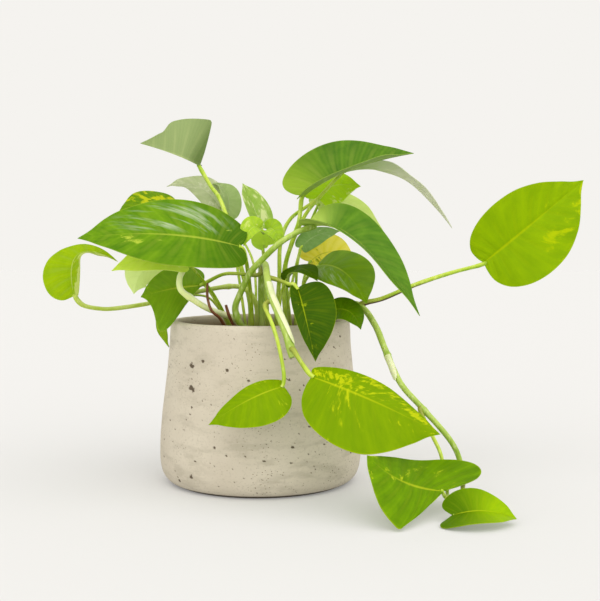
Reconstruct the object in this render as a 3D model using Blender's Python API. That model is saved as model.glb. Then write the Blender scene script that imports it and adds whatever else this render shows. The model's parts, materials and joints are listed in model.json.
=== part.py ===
"""Trailing golden pothos in a round concrete pot.

The origin is the centre of the pot's flat underside. +Z is up and +X is the side
the longest shoot reaches out to. All lengths are millimetres until they reach the meshes.
"""
import math

import bpy
import bmesh
from mathutils import Vector

MM = 0.001

# Pot: a turned concrete vessel, its outer wall as (radius, height) from the foot up.
POT_OUTER = [(68.6, 0.0), (69.0, 0.9), (71.6, 1.4), (74.0, 2.8), (76.6, 5.4), (78.8, 9.6),
             (80.2, 16.0), (80.7, 25.0), (80.2, 38.0), (78.7, 56.0), (76.5, 74.0), (74.3, 92.0),
             (72.6, 110.0), (71.8, 125.5), (71.2, 128.0), (69.8, 129.0)]
POT_INNER = [(66.2, 129.0), (64.8, 128.2), (64.2, 126.0), (64.6, 112.0), (66.8, 80.0),
             (68.8, 40.0), (66.0, 20.0), (58.0, 12.0)]
POT_FLOOR_Z = 12.0
POT_SIDES = 40

# Soil: fills the pot to a little below the rim, slightly mounded towards the crown.
SOIL_GAP = 0.4
SOIL_EDGE_Z = 116.0
SOIL_MOUND = 4.0
SOIL_MOUND_RADIUS = 62.0
SOIL_RIPPLE = 0.5
SOIL_SIDES = 32
# Heights at which its side follows the pot's wall, and the rings of its top as shares of its radius.
SOIL_WALL_Z = [20.0, 40.0, 80.0, 112.0, SOIL_EDGE_Z]
SOIL_TOP_RINGS = [0.8, 0.55, 0.3]
SOIL_FOOT_INSET = 1.0

# Leaves: closed blades, thickest at the midrib and thin at the margin, base and tip.
BLADE_THICKNESS = 1.1
MARGIN_FRACTION = 0.35
END_THINNING = 0.7
WIDE_BLADE = 16.0
# How the ribs lie: they leave the midrib later than evenly, and curve towards the tip.
ROOT_POWER = 1.7
RIB_POWER = 1.2
# Half outline of a blade, as (along the midrib from base to tip, share of the half width).
OUTLINE = [(0.0, 0.0), (-0.045, 0.22), (-0.06, 0.48), (0.0, 0.74), (0.14, 0.93), (0.33, 1.0),
           (0.53, 0.93), (0.71, 0.72), (0.86, 0.42), (0.955, 0.15), (1.0, 0.0)]
# The same for a half that is creased to a corner where the blade props itself on the floor.
CORNERED = [(0.0, 0.0), (0.24, 0.42), (0.45, 0.85), (0.52, 1.0), (0.58, 0.93), (0.70, 0.72),
            (0.82, 0.46), (0.93, 0.20), (1.0, 0.0)]
# And for a half that rolls over into a round ear near its base.
CURLED = [(0.0, 0.0), (-0.03, 0.40), (0.02, 0.78), (0.14, 1.0), (0.27, 0.98), (0.38, 0.76),
          (0.50, 0.52), (0.68, 0.36), (0.85, 0.20), (1.0, 0.0)]
# A half that opens out to a corner beside the base, like a fan, and is notched before the tip.
FANNED = [(0.0, 0.0), (0.03, 0.35), (0.08, 0.80), (0.12, 1.0), (0.22, 0.98), (0.42, 0.86),
          (0.58, 0.72), (0.67, 0.60), (0.73, 0.40), (0.80, 0.30), (0.90, 0.14), (1.0, 0.0)]
# A half that narrows early into a long tail.
TAILED = [(0.0, 0.0), (-0.03, 0.30), (0.02, 0.70), (0.14, 0.97), (0.28, 1.0), (0.42, 0.80),
          (0.55, 0.54), (0.68, 0.35), (0.82, 0.20), (0.93, 0.09), (1.0, 0.0)]

# Each blade: base, middle and tip of its midrib, the way its upper face looks, its left and
# right halves (seen from above, tip ahead), its cupping as a share of the half width, and
# its number of ribs. A half is (width, fold up in degrees, sweep of the lobe behind the base
# as a share of the length, and how pointed its widest place is, 1 for round, or an outline of
# its own).
LEAVES = {
    "leaf_top_left": dict(
        midrib=[(-53, 55, 256), (-74, 42, 265), (-99, 24, 272)], facing=(0, 0.75, 0.65),
        left=(37, 42, 0, FANNED), right=(20, 60, 0.1, 1), cup=0.05, ribs=8),
    "leaf_back_left_pale": dict(
        midrib=[(-36, 70, 219), (-58, 86, 240), (-86, 93, 240)], facing=(-0.2, -0.5, 0.85),
        left=(14, 15, 0, 1), right=(13, 15, 0, 1), cup=0, ribs=6),
    "leaf_back_left_low": dict(
        midrib=[(-30, 60, 215), (-32, 72, 234), (-45, 84, 242)], facing=(0.6, -0.6, 0.5),
        left=(12, 20, 0, 1), right=(12, 20, 0, 1), cup=0, ribs=6),
    "leaf_left_variegated": dict(
        midrib=[(-64, -15, 221), (-84, -30, 221), (-107, -42, 213)], facing=(-0.2, -0.5, 0.85),
        left=(20, 10, 0, 1), right=(21, 10, 0, 1), cup=0, ribs=7),
    "leaf_left_big": dict(
        midrib=[(-13, -52, 188), (-68, -76, 197), (-129, -85, 194)], facing=(-0.05, -0.8, 0.6),
        left=(24, -12, -0.04, 1), right=(32, 8, -0.04, 1), cup=-0.05, ribs=11),
    "leaf_left_curled": dict(
        midrib=[(-143.5, -30, 149.5), (-140, -28, 182), (-111, -20, 176)], facing=(-0.2, -0.65, 0.75),
        left=(25, 0, -0.04, CURLED), right=(15, 30, -0.25, 1.3), cup=0, ribs=10),
    "leaf_left_lime": dict(
        midrib=[(-57, -44, 176), (-80, -58, 179), (-108, -66, 170)], facing=(0, -0.75, 0.65),
        left=(14, 5, 0, 1), right=(13, 5, 0, 1), cup=0, ribs=7),
    "leaf_left_round": dict(
        midrib=[(-76, -5, 171), (-91, -22, 168), (-97, -30, 151)], facing=(-0.3, 0.8, 0.4),
        left=(17, 10, 0, 1), right=(17, 10, 0, 1), cup=0, ribs=6),
    "leaf_left_dark": dict(
        midrib=[(-46, -14, 157), (-68, -24, 155), (-91, -36, 149)], facing=(0.1, -0.85, 0.5),
        left=(32, -10, -1.1, 1.2), right=(19, 0, 0.05, 1), cup=0, ribs=9),
    "leaf_left_hanging": dict(
        midrib=[(-61, 18, 148), (-82, 30, 130), (-78, 36, 103)], facing=(-0.6, -0.6, 0.2),
        left=(10, 0, -0.1, 1), right=(11, 0, -0.1, 1), cup=0, ribs=6),
    "leaf_centre_upright": dict(
        midrib=[(0, 36, 203), (-8, 46, 222), (-17, 56, 241)], facing=(0.5, -0.8, 0.2),
        left=(12, 25, 0, 1), right=(13, 25, 0, 1), cup=0, ribs=6),
    "leaf_centre_small": dict(
        midrib=[(2, 6, 187), (3, -4, 198), (2, -24, 201)], facing=(0, -0.3, 0.95),
        left=(12, -20, 0, 1), right=(11, -20, 0, 1), cup=0, ribs=6),
    "leaf_upper_right": dict(
        midrib=[(34, -8, 228), (72, -4, 249), (124, 14, 263)], facing=(-0.15, -0.5, 0.87),
        left=(30, 34, 0.12, 1), right=(22, 36, 0, 1), cup=0, ribs=10),
    "leaf_upper_back": dict(
        midrib=[(47, 26, 227), (60, 36, 238), (83, 48, 238)], facing=(0.1, -0.85, 0.5),
        left=(18, 5, 0.1, 1), right=(18, 5, 0.1, 1), cup=0, ribs=7),
    "leaf_right_drooping": dict(
        midrib=[(68, 20, 249), (117, 38, 245), (162, 60, 203)], facing=(0.4, 0.2, 0.9),
        left=(19, 10, 0, TAILED), right=(19, 10, 0, TAILED), cup=0, ribs=8),
    "leaf_right_pale_back": dict(
        midrib=[(47, 44, 222), (75, 62, 223), (104, 75, 201)], facing=(0.3, -0.6, 0.7),
        left=(15, 5, 0, 1), right=(15, 5, 0, 1), cup=0, ribs=7),
    "leaf_right_arching": dict(
        midrib=[(42, -42, 204), (76, -62, 191), (120, -74, 137)], facing=(0.2, -0.45, 0.85),
        left=(24, 28, 0.06, 1), right=(22, 28, 0, 1), cup=0, ribs=11),
    "leaf_right_round": dict(
        midrib=[(46, -12, 173), (66, -36, 168), (82, -56, 145)], facing=(0.2, -0.75, 0.6),
        left=(27, 0, 0, 1), right=(20, 0, 0, 1), cup=-0.05, ribs=9),
    "leaf_centre_grey": dict(
        midrib=[(33, 2, 187), (46, 4, 197), (64, 8, 200)], facing=(-0.2, -0.6, 0.8),
        left=(12, 0, 0, 1), right=(12, 0, 0, 1), cup=0, ribs=6),
    "leaf_old_yellow": dict(
        midrib=[(40, 22, 175), (57, 30, 183), (77, 36, 178)], facing=(0, -0.9, 0.4),
        left=(18, 5, 0, 1), right=(14, 5, 0, 1), cup=0, ribs=6),
    "leaf_centre_crescent": dict(
        midrib=[(21, -30, 162), (33, -40, 171), (45, -56, 162)], facing=(0.2, -0.5, 0.85),
        left=(13, 0, 0, 1), right=(13, 0, 0, 1), cup=0, ribs=6),
    "leaf_front_hanging": dict(
        midrib=[(30, -64, 157), (36, -82, 135), (43, -90, 105)], facing=(0, -0.95, 0.3),
        left=(24, 5, -0.04, 1), right=(8, 20, -0.04, 1), cup=0, ribs=9),
    "leaf_rim_right": dict(
        midrib=[(57, -34, 139), (70, -44, 138), (78, -50, 125)], facing=(0.4, -0.8, 0.4),
        left=(12, 0, 0, 1), right=(12, 0, 0, 1), cup=0, ribs=6),
    "leaf_far_right": dict(
        midrib=[(177, -12, 175), (213, -16, 205), (255, -12, 240)], facing=(0, -1, 0.05),
        left=(31, 6, -0.12, 1), right=(39, 6, -0.12, 1), cup=0, ribs=10),
    "leaf_front_big": dict(
        midrib=[(40, -104, 96), (82, -116, 81), (130, -118, 57)], facing=(0, -0.75, 0.65),
        left=(19, -12, -0.1, 1), right=(41, -12, -0.18, 1), cup=0, ribs=11),
    "leaf_front_small": dict(
        midrib=[(20, -97, 88), (-4, -106, 80), (-33, -108, 62)], facing=(0, -0.75, 0.65),
        left=(23, -12, -0.06, 1), right=(12, -12, -0.06, 1), cup=0, ribs=8),
    "leaf_floor_large": dict(
        midrib=[(132, -122, 18), (102, -131, 27), (77.5, -139, 46.5)], facing=(0, -0.66, 0.75),
        left=(41.5, 4, 0, CORNERED), right=(34, -11, 1.1, 1.1), cup=0, ribs=12),
    "leaf_floor_small": dict(
        midrib=[(135.5, -143, 6.3), (157, -147, 10.1), (179, -143, 3.6)], facing=(0, -0.4, 0.9),
        left=(17.5, 25, 0.2, 1), right=(19.5, 11, 0.24, 1), cup=0, ribs=10),
}

# Each shoot: its material, radius at the start and at the end, sides, and the points it
# grows through. A shoot whose first height is None starts upright, just above the soil.
SHOOT_STEP = 11.0
SHOOT_FEWEST_STEPS = 4
SHOOT_CLEARANCE = 1.0
SHOOT_UPRIGHT = 4.0
SHOOT_LEAN = 0.12
SHOOTS = {
    "petiole_top_left": dict(
        slot="petiole", radii=(2.2, 1.6), sides=6,
        route=[(-8, 6, None), (-9, 8, 144), (-17, 15, 173), (-33, 40, 222), (-44, 50, 239),
               (-53, 55, 254)]),
    "runner_left": dict(
        slot="runner", radii=(2.2, 1.8), sides=6,
        route=[(-2, -7, None), (-4, -6, 144), (-18, -4, 156), (-53, 4, 151), (-81, 6, 144),
               (-96, 2, 141), (-118, -10, 138.5), (-129, -18, 139.5), (-137, -25, 142),
               (-141, -28.5, 146)]),
    "stem_left_hook": dict(
        slot="stem_pale", radii=(2.7, 2.0), sides=8,
        route=[(-13, -18, None), (-21, -22, 132), (-39, -34, 140), (-51, -40, 148), (-59, -44, 155),
               (-60, -43, 164), (-57, -32, 176), (-62, -15, 205), (-64, -13, 218)]),
    "sheath_dried": dict(
        slot="sheath_dry", radii=(1.6, 0.8), sides=6,
        route=[(-25, -31, None), (-30, -38, 133), (-36, -41, 139), (-39, -41, 149), (-39, -41, 160)]),
    "vine_front_left": dict(
        slot="vine", radii=(2.6, 2.2), sides=8,
        route=[(-9, -28, None), (-14, -36, 128), (-18, -38, 140), (-14, -40, 152), (-6, -46, 168),
               (4, -50, 179), (17, -54, 191), (30, -51, 199), (38, -46, 202)]),
    "vine_front": dict(
        slot="vine", radii=(2.4, 3.0), sides=8,
        route=[(2, -14, None), (1, -14, 148), (2, -22, 171), (5, -36, 174), (7, -52, 165),
               (10, -68, 153), (15, -82, 142), (21, -90, 128), (27, -96, 109)]),
    "petiole_front_big": dict(
        slot="petiole", radii=(1.8, 1.5), sides=6,
        route=[(27, -100.5, 115), (32, -103, 107), (38, -104, 98.5)]),
    "petiole_front_small": dict(
        slot="petiole", radii=(1.6, 1.3), sides=6,
        route=[(6, -76, 145), (11, -88, 134), (16, -94, 119), (20, -97, 99), (20, -97, 90.5)]),
    "petiole_front_hanging": dict(
        slot="petiole", radii=(1.7, 1.4), sides=6,
        route=[(12, -54, 164), (18, -58, 162), (24, -61, 160), (27, -62, 160)]),
    "petiole_left_dark": dict(
        slot="petiole", radii=(1.7, 1.4), sides=6,
        route=[(-1, -32, 166), (-17, -27, 167), (-29, -22, 166), (-44, -15, 158.5)]),
    "petiole_upper_back": dict(
        slot="petiole", radii=(1.8, 1.5), sides=6,
        route=[(12, 6, None), (15, 5, 161), (16, 9, 190), (24, 16, 210), (43, 24, 224)]),
    "petiole_upper_right": dict(
        slot="petiole", radii=(2.0, 1.6), sides=6,
        route=[(21, -5, None), (19, -3, 165), (26, -7, 193), (31, -9, 208), (33, -8, 225)]),
    "petiole_right_drooping": dict(
        slot="petiole", radii=(1.8, 1.4), sides=6,
        route=[(24, 13, None), (20, 8, 169), (25, 8, 189), (36, 10, 213), (49, 12, 229),
               (66, 19, 247.5)]),
    "vine_right": dict(
        slot="vine", radii=(2.8, 2.0), sides=8,
        route=[(36, 8, None), (39, 6, 137), (47, 2, 142), (60, -5, 143), (79, -12, 141),
               (90, -30, 127), (97, -44, 109), (107, -60, 86), (121, -72, 70), (135, -82, 55),
               (144, -83, 43), (149, -83, 31), (151, -86, 16)]),
    "petiole_far_right": dict(
        slot="petiole", radii=(2.2, 1.6), sides=6,
        route=[(83.5, -12, 143.5), (98, -12, 147), (124, -12, 158), (151, -12, 167),
               (175.5, -12, 173.5)]),
    "petiole_floor_small": dict(
        slot="petiole", radii=(1.5, 1.1), sides=6,
        route=[(149.5, -95, 11.5), (149, -106, 6), (146, -120, 4), (140, -131, 3.5), (137, -139, 4.5)]),
    "petiole_floor_large": dict(
        slot="petiole", radii=(1.5, 1.2), sides=6,
        route=[(121, -76, 66), (128, -84, 51), (134, -88, 38), (136, -92, 26), (137, -104, 13),
               (134, -117, 12.5)]),
    "petiole_back_left_pale": dict(
        slot="petiole", radii=(1.3, 1.0), sides=6,
        route=[(-12, 18, None), (-22, 42, 175), (-36, 70, 217)]),
    "petiole_back_left_low": dict(
        slot="petiole", radii=(1.2, 0.9), sides=6,
        route=[(-4, 22, None), (-8, 46, 175), (-29, 59, 210)]),
    "petiole_centre_upright": dict(
        slot="petiole", radii=(1.4, 1.1), sides=6,
        route=[(4, 16, None), (2, 28, 170), (0, 36, 201)]),
    "petiole_centre_small": dict(
        slot="petiole", radii=(1.4, 1.1), sides=6,
        route=[(6, -3, None), (5, 4, 150), (2, 6, 185)]),
    "petiole_left_lime": dict(
        slot="petiole", radii=(1.3, 1.0), sides=6,
        route=[(-22, -6, None), (-36, -18, 150), (-50, -34, 170), (-55, -43, 175)]),
    "petiole_left_round": dict(
        slot="petiole", radii=(1.3, 1.0), sides=6,
        route=[(-24, 10, None), (-46, 13, 156), (-74, -3, 172)]),
    "petiole_left_hanging": dict(
        slot="petiole", radii=(1.2, 0.9), sides=6,
        route=[(-24, 20, None), (-42, 18, 145), (-59, 18, 148)]),
    "petiole_right_pale_back": dict(
        slot="petiole", radii=(1.3, 1.0), sides=6,
        route=[(16, 24, None), (32, 42, 185), (46, 44, 220)]),
    "petiole_right_round": dict(
        slot="petiole", radii=(1.5, 1.1), sides=6,
        route=[(31, -11, None), (34, -10, 155), (42, -11, 169)]),
    "petiole_centre_grey": dict(
        slot="petiole", radii=(1.3, 1.0), sides=6,
        route=[(28, 2, None), (29, 2, 165), (32, 2, 185)]),
    "petiole_old_yellow": dict(
        slot="petiole", radii=(1.3, 1.0), sides=6,
        route=[(34, 22, None), (34, 22, 155), (39, 22, 173)]),
    "petiole_centre_crescent": dict(
        slot="petiole", radii=(1.3, 1.0), sides=6,
        route=[(14, -20, None), (17, -26, 150), (21, -30, 161)]),
    "petiole_rim_right": dict(
        slot="petiole", radii=(1.3, 1.0), sides=6,
        route=[(41, -16, None), (48, -28, 134), (56, -34, 139)]),
}

# Materials: colour, roughness.
MATERIALS = {
    "concrete": ((0.60, 0.55, 0.48), 0.85),
    "soil": ((0.05, 0.03, 0.02), 0.95),
    "leaf_green": ((0.10, 0.28, 0.03), 0.38),
    "leaf_lime": ((0.36, 0.60, 0.05), 0.40),
    "leaf_dark": ((0.03, 0.15, 0.02), 0.35),
    "leaf_pale": ((0.35, 0.45, 0.28), 0.50),
    "leaf_yellow": ((0.75, 0.68, 0.22), 0.50),
    "petiole": ((0.33, 0.50, 0.08), 0.45),
    "runner": ((0.38, 0.55, 0.12), 0.45),
    "stem_pale": ((0.52, 0.66, 0.30), 0.45),
    "vine": ((0.30, 0.52, 0.08), 0.42),
    "sheath_dry": ((0.12, 0.06, 0.03), 0.85),
}
LEAF_COLOURS = {
    "leaf_top_left": "leaf_pale", "leaf_back_left_pale": "leaf_pale", "leaf_back_left_low": "leaf_pale",
    "leaf_left_curled": "leaf_lime", "leaf_left_lime": "leaf_lime", "leaf_left_round": "leaf_pale",
    "leaf_left_dark": "leaf_dark", "leaf_left_hanging": "leaf_lime", "leaf_centre_upright": "leaf_pale",
    "leaf_right_pale_back": "leaf_pale", "leaf_right_round": "leaf_dark", "leaf_centre_grey": "leaf_dark",
    "leaf_centre_crescent": "leaf_dark", "leaf_front_hanging": "leaf_dark", "leaf_rim_right": "leaf_dark",
    "leaf_right_arching": "leaf_dark", "leaf_old_yellow": "leaf_yellow", "leaf_far_right": "leaf_lime",
    "leaf_front_big": "leaf_lime", "leaf_front_small": "leaf_lime", "leaf_floor_large": "leaf_lime",
    "leaf_floor_small": "leaf_lime",
}


def clear_scene():
    for obj in list(bpy.data.objects):
        bpy.data.objects.remove(obj, do_unlink=True)


def material(name):
    found = bpy.data.materials.get(name)
    if found:
        return found
    colour, roughness = MATERIALS[name]
    found = bpy.data.materials.new(name)
    found.use_nodes = True
    shader = found.node_tree.nodes["Principled BSDF"]
    shader.inputs["Base Color"].default_value = (*colour, 1.0)
    shader.inputs["Roughness"].default_value = roughness
    shader.inputs["Metallic"].default_value = 0.0
    found.diffuse_color = (*colour, 1.0)
    return found


def finish(name, bm, slot):
    """Turn a bmesh in millimetres into a smooth shaded object with outward faces."""
    bmesh.ops.recalc_face_normals(bm, faces=bm.faces)
    bmesh.ops.scale(bm, vec=(MM, MM, MM), verts=bm.verts)
    mesh = bpy.data.meshes.new(name)
    bm.to_mesh(mesh)
    bm.free()
    mesh.shade_smooth()
    mesh.set_sharp_from_angle(angle=math.radians(50))
    mesh.materials.append(material(slot))
    obj = bpy.data.objects.new(name, mesh)
    bpy.context.scene.collection.objects.link(obj)
    return obj


def ring_loft(bm, rings, close_ends=True):
    """Join closed rings of vertices, each the same length, with quads and flat ends."""
    for lower, upper in zip(rings, rings[1:]):
        for i in range(len(lower)):
            j = (i + 1) % len(lower)
            bm.faces.new((lower[i], lower[j], upper[j], upper[i]))
    if close_ends:
        bm.faces.new(list(reversed(rings[0])))
        bm.faces.new(rings[-1])


def circle(bm, radius, z, sides):
    turn = 2 * math.pi / sides
    return [bm.verts.new((radius * math.cos(i * turn), radius * math.sin(i * turn), z))
            for i in range(sides)]


def build_pot():
    """One closed wall: outside up, over the rim, down inside, with a flat foot and floor."""
    bm = bmesh.new()
    rings = [circle(bm, r, z, POT_SIDES) for r, z in POT_OUTER + POT_INNER]
    ring_loft(bm, rings)
    return finish("pot", bm, "concrete")


def pot_inner_radius(z):
    line = sorted(POT_INNER, key=lambda p: p[1])
    for (r0, z0), (r1, z1) in zip(line, line[1:]):
        if z0 <= z <= z1:
            return r0 + (r1 - r0) * (z - z0) / (z1 - z0)
    return line[0][0]


def soil_height(x, y):
    share = min(math.hypot(x, y) / SOIL_MOUND_RADIUS, 1.0)
    ripple = SOIL_RIPPLE * math.sin(0.19 * x + 0.7) * math.cos(0.17 * y - 0.4)
    return SOIL_EDGE_Z + SOIL_MOUND * (1.0 - share * share) + ripple * (1.0 - share)


def build_soil():
    """A plug of soil that follows the pot's inside, 0.4 mm clear of it."""
    bm = bmesh.new()
    turn = 2 * math.pi / SOIL_SIDES
    flats = math.cos(math.pi / POT_SIDES)

    def radius_at(z):
        return pot_inner_radius(z) * flats - SOIL_GAP

    foot = POT_FLOOR_Z + SOIL_GAP
    rings = [circle(bm, radius_at(foot) - SOIL_FOOT_INSET, foot, SOIL_SIDES)]
    rings += [circle(bm, radius_at(z), z, SOIL_SIDES) for z in SOIL_WALL_Z]
    for share in SOIL_TOP_RINGS:
        radius = radius_at(SOIL_EDGE_Z) * share
        ring = []
        for i in range(SOIL_SIDES):
            x, y = radius * math.cos(i * turn), radius * math.sin(i * turn)
            ring.append(bm.verts.new((x, y, soil_height(x, y))))
        rings.append(ring)
    ring_loft(bm, rings, close_ends=False)
    bm.faces.new(list(reversed(rings[0])))
    top = bm.verts.new((0.0, 0.0, soil_height(0.0, 0.0)))
    for i in range(SOIL_SIDES):
        bm.faces.new((rings[-1][i], rings[-1][(i + 1) % SOIL_SIDES], top))
    return finish("soil", bm, "soil")


def spline(points, share):
    """Catmull-Rom through the points at 0..1 of their chord length."""
    pts = [Vector(p) for p in points]
    pts = [2 * pts[0] - pts[1]] + pts + [2 * pts[-1] - pts[-2]]
    lengths = [(b - a).length for a, b in zip(pts[1:-2], pts[2:-1])]
    along = share * sum(lengths)
    k = 0
    while k < len(lengths) - 1 and along > lengths[k]:
        along -= lengths[k]
        k += 1
    t = min(max(along / lengths[k], 0.0), 1.0)
    p0, p1, p2, p3 = pts[k:k + 4]
    return 0.5 * (2 * p1 + (p2 - p0) * t + (2 * p0 - 5 * p1 + 4 * p2 - p3) * t * t
                  + (3 * p1 - p0 - 3 * p2 + p3) * t * t * t)


def build_shoot(name, slot, radii, sides, route):
    """A round stem that tapers evenly along a smooth path."""
    from_soil = route[0][2] is None
    if from_soil:
        x, y, _ = route[0]
        low = soil_height(x, y) + SHOOT_CLEARANCE
        upright = (x + SHOOT_LEAN * (route[1][0] - x), y + SHOOT_LEAN * (route[1][1] - y),
                   low + SHOOT_UPRIGHT)
        route = [(x, y, low), upright] + route[1:]
    length = sum((Vector(b) - Vector(a)).length for a, b in zip(route, route[1:]))
    steps = max(SHOOT_FEWEST_STEPS, round(length / SHOOT_STEP))
    path = [spline(route, i / steps) for i in range(steps + 1)]
    bm = bmesh.new()
    rings = []
    across = None
    for i, point in enumerate(path):
        ahead = path[min(i + 1, steps)] - path[max(i - 1, 0)]
        if i == 0 and from_soil:
            ahead = Vector((0, 0, 1))
        ahead.normalize()
        if across is None:
            across = ahead.orthogonal().normalized()
        across = (across - ahead * across.dot(ahead)).normalized()
        other = ahead.cross(across)
        radius = radii[0] + (radii[1] - radii[0]) * i / steps
        rings.append([bm.verts.new(point + radius * (across * math.cos(a) + other * math.sin(a)))
                      for a in (2 * math.pi * k / sides for k in range(sides))])
    ring_loft(bm, rings)
    return finish(name, bm, slot)


def outline_point(share, line):
    """Where rib number share (0 at the base, 1 at the tip) meets the margin."""
    points = [(s, w, 0.0) for s, w in line]
    found = spline(points, share)
    return found.x, max(found.y, 0.0)


def build_leaf(name, midrib, facing, left, right, cup, ribs):
    """A heart shaped blade bent along its midrib, folded and cupped across it."""
    base, middle, tip = (Vector(point) for point in midrib)
    facing = Vector(facing)
    control = 2 * middle - 0.5 * (base + tip)

    def frame_at(s):
        """Point, upward and sideways directions of the midrib, straight on behind the base."""
        t = max(s, 0.0)
        ahead = 2 * (1 - t) * (control - base) + 2 * t * (tip - control)
        point = (1 - t) ** 2 * base + 2 * t * (1 - t) * control + t * t * tip
        if s < 0.0:
            point = point + ahead * s
        ahead.normalize()
        up = (facing - ahead * facing.dot(ahead)).normalized()
        return point, up, ahead.cross(up)

    def blade(share, c, columns):
        """A point of the blade's middle surface on rib share, column c of -columns..columns."""
        half, fold, sweep, peak = right if c > 0 else left
        line, power = (peak, 1.0) if isinstance(peak, list) else (OUTLINE, peak)
        u = abs(c) / columns
        s_edge, w_edge = outline_point(share, line)
        w_edge = w_edge ** power
        s_root = share ** ROOT_POWER
        s_edge -= sweep * w_edge * (1.0 - share)
        s = s_root + (s_edge - s_root) * u ** RIB_POWER
        point, up, out = frame_at(s)
        reach = w_edge * u
        turn = math.radians(fold)
        across = half * reach * math.cos(turn) * (1 if c > 0 else -1)
        lift = half * reach * (math.sin(turn) + cup * reach)
        return point + out * across + up * lift, up

    columns = 3 if max(left[0], right[0]) > WIDE_BLADE else 2
    bm = bmesh.new()
    layers = []
    for level in (0.5, -0.5):
        grid = []
        for r in range(ribs + 1):
            at_end = r in (0, ribs)
            row = []
            for c in range(-columns, columns + 1):
                if at_end and c > -columns:
                    row.append(row[0])
                    continue
                point, up = blade(r / ribs, 0 if at_end else c, columns)
                thin = (1.0 - MARGIN_FRACTION) * (END_THINNING if at_end else abs(c) / columns)
                row.append(bm.verts.new(point + up * level * BLADE_THICKNESS * (1.0 - thin)))
            grid.append(row)
        layers.append(grid)

    def face(*corners):
        kept = list(dict.fromkeys(corners))
        if len(kept) > 2:
            bm.faces.new(kept)

    for grid in layers:
        for low, high in zip(grid, grid[1:]):
            for c in range(2 * columns):
                face(low[c], low[c + 1], high[c + 1], high[c])
    top, bottom = layers
    for c in (0, 2 * columns):
        for r in range(ribs):
            face(top[r][c], top[r + 1][c], bottom[r + 1][c], bottom[r][c])
    return finish(name, bm, LEAF_COLOURS.get(name, "leaf_green"))


clear_scene()
build_pot()
build_soil()
for leaf_name, shape in LEAVES.items():
    build_leaf(leaf_name, **shape)
for shoot_name, shape in SHOOTS.items():
    build_shoot(shoot_name, **shape)
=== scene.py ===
import json
import math
import random

import bpy
from mathutils import Matrix, Vector, noise


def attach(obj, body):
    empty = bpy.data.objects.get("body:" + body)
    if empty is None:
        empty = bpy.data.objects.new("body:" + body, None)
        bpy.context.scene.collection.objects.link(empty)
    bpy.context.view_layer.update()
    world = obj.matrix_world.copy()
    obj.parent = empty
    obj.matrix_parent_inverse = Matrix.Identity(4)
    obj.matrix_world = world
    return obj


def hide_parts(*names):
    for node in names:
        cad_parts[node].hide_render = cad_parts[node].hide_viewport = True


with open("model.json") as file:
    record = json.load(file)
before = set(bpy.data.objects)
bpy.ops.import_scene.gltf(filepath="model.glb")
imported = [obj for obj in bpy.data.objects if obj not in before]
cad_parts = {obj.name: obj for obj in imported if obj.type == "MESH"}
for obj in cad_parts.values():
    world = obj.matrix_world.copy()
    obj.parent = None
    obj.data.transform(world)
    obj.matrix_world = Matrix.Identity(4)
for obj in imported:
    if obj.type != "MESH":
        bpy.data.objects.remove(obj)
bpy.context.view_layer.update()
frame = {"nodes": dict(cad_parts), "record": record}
bpy.ops.object.select_all(action="DESELECT")
mm = 0.001
print("frame loaded")

# camera, room and light
view = {"place": (0.0318, -0.872, 0.1925), "tiltDown": 3.16, "lens": 65.11}
room = {"wall": (245, 243, 239), "floorSize": 12.0, "floorTint": 0.532, "floorGlow": 0.20}
# soft panels: which way they lie, cosines where they start to fade and where they end, strength
panels = [
    {"towards": (-0.35, -0.85, 0.50), "core": 0.95, "edge": 0.50, "power": 1.1},
    {"towards": (0.60, -0.45, 0.70), "core": 0.96, "edge": 0.65, "power": 1.1},
]


def tint(red, green, blue):
    # a colour as it looks on screen, made linear
    def linear(part):
        part = part / 255
        return part / 12.92 if part <= 0.04045 else ((part + 0.055) / 1.055) ** 2.4
    return (linear(red), linear(green), linear(blue), 1.0)


class Signal:
    # a socket that can be used in sums; every sum adds its Math node
    def __init__(self, tree, out=None):
        self.tree = tree
        self.out = out

    def node(self, kind, inputs=None, pick=0, **settings):
        made = self.tree.nodes.new(kind)
        for key, value in settings.items():
            setattr(made, key, value)
        for key, value in (inputs or {}).items():
            if isinstance(value, Signal):
                self.tree.links.new(value.out, made.inputs[key])
            else:
                made.inputs[key].default_value = value
        return Signal(self.tree, made.outputs[pick])

    def maths(self, operation, first, second=0.0):
        return self.node("ShaderNodeMath", {0: first, 1: second}, operation=operation)

    def __add__(self, other):
        return self.maths("ADD", self, other)

    def __radd__(self, other):
        return self.maths("ADD", other, self)

    def __sub__(self, other):
        return self.maths("SUBTRACT", self, other)

    def __rsub__(self, other):
        return self.maths("SUBTRACT", other, self)

    def __mul__(self, other):
        return self.maths("MULTIPLY", self, other)

    def __rmul__(self, other):
        return self.maths("MULTIPLY", other, self)

    def __pow__(self, other):
        return self.maths("POWER", self, other)

    def size(self):
        return self.maths("ABSOLUTE", self)

    def most(self, other):
        return self.maths("MAXIMUM", self, other)

    def step(self, low, high, start=0.0, end=1.0):
        # smooth change from start to end as the value goes from low to high
        return self.node("ShaderNodeMapRange", {0: self, 1: low, 2: high, 3: start, 4: end},
                         interpolation_type="SMOOTHSTEP")

    def mix(self, first, second):
        # two colours, by this value
        return self.node("ShaderNodeMix", {0: self, 6: first, 7: second}, 2, data_type="RGBA")

    def join(self, x, y, z):
        return self.node("ShaderNodeCombineXYZ", {0: x, 1: y, 2: z})

    def parts(self):
        split = self.node("ShaderNodeSeparateXYZ", {0: self}).out.node
        return [Signal(self.tree, out) for out in split.outputs[:3]]

    def scaled(self, x, y, z):
        return self.node("ShaderNodeVectorMath", {0: self, 1: (x, y, z)}, operation="MULTIPLY")

    def grain(self, where, scale, detail=3.0, roughness=0.55, twist=0.0):
        return self.node("ShaderNodeTexNoise", {"Vector": where, "Scale": scale, "Detail": detail,
                                                "Roughness": roughness, "Distortion": twist})


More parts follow.
